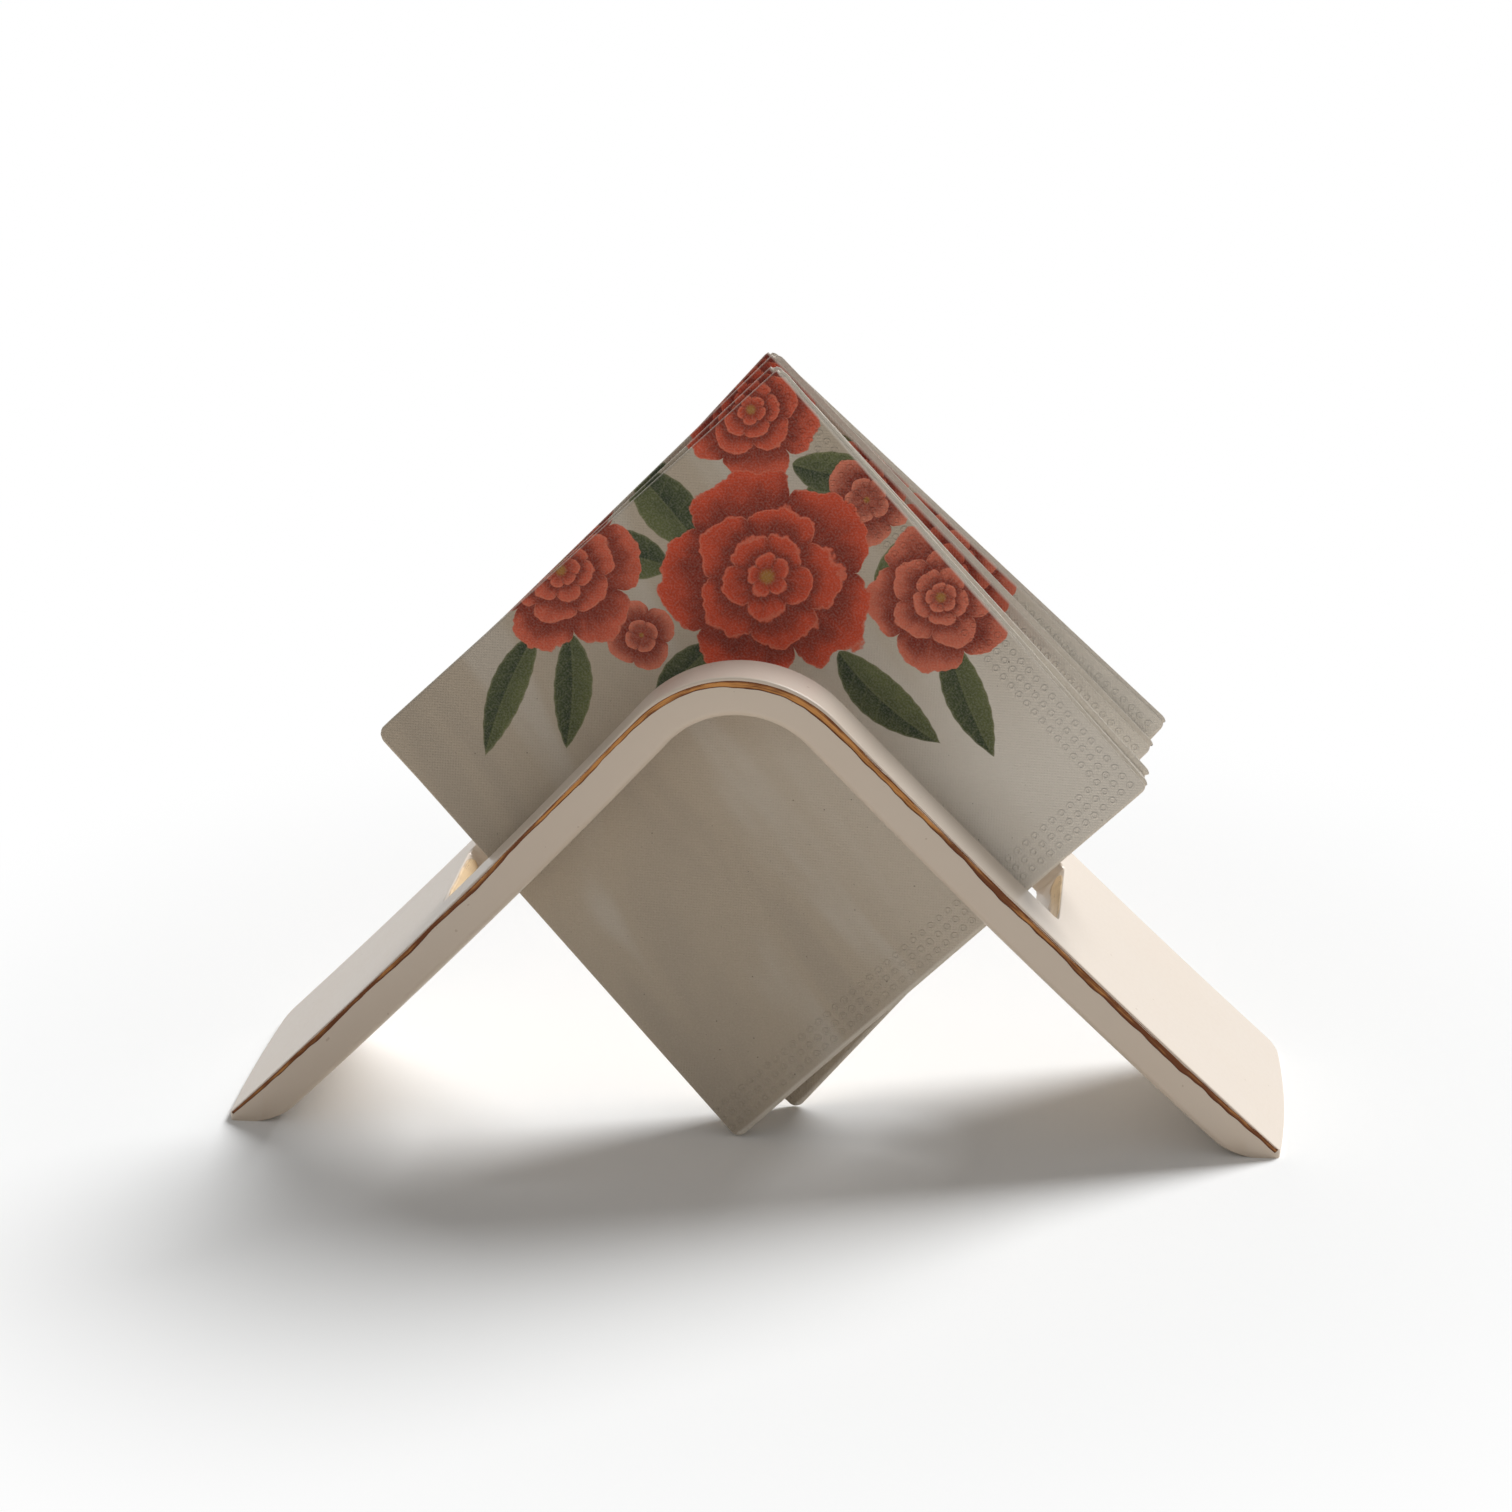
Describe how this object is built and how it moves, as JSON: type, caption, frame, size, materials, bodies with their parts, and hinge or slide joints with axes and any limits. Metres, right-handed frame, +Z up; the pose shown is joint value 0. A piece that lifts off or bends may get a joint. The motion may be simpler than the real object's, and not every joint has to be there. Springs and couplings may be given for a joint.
{
  "type": "napkin holder",
  "caption": "Glazed stoneware napkin holder bent into an upturned V, slotted along its length, with gold lustre edges and folded paper napkins fanned in the slot.",
  "frame": {"origin": "on the table, midway between the feet and midway through the depth", "axes": "+X along the holder towards its right foot, +Y towards its rear, +Z up"},
  "size_m": [0.243, 0.0566, 0.1691],
  "materials": {
    "glaze": "smooth cream glaze with a soft sheen",
    "gold_lustre": "hand-painted gold lustre",
    "napkin_paper": "soft embossed tissue with a floral print"
  },
  "bodies": {
    "holder": {"holder_body": "glaze", "front_gold_line": "gold_lustre", "rear_gold_line": "gold_lustre", "left_slot_gold": "gold_lustre", "right_slot_gold": "gold_lustre"},
    "sheet_1": {"napkin_1": "napkin_paper"},
    "sheet_2": {"napkin_2": "napkin_paper"},
    "sheet_3": {"napkin_3": "napkin_paper"},
    "sheet_4": {"napkin_4": "napkin_paper"}
  },
  "joints": [
    {"name": "lift_napkin_1", "type": "slide", "parent": "holder", "child": "sheet_1", "axis": [0, 0.225, 0.9744], "range_m": [0, 0.125]},
    {"name": "lift_napkin_2", "type": "slide", "parent": "holder", "child": "sheet_2", "axis": [0, 0.225, 0.9744], "range_m": [0, 0.125]},
    {"name": "lift_napkin_3", "type": "slide", "parent": "holder", "child": "sheet_3", "axis": [0, 0.225, 0.9744], "range_m": [0, 0.125]},
    {"name": "lift_napkin_4", "type": "slide", "parent": "holder", "child": "sheet_4", "axis": [0, 0.225, 0.9744], "range_m": [0, 0.125]}
  ]
}
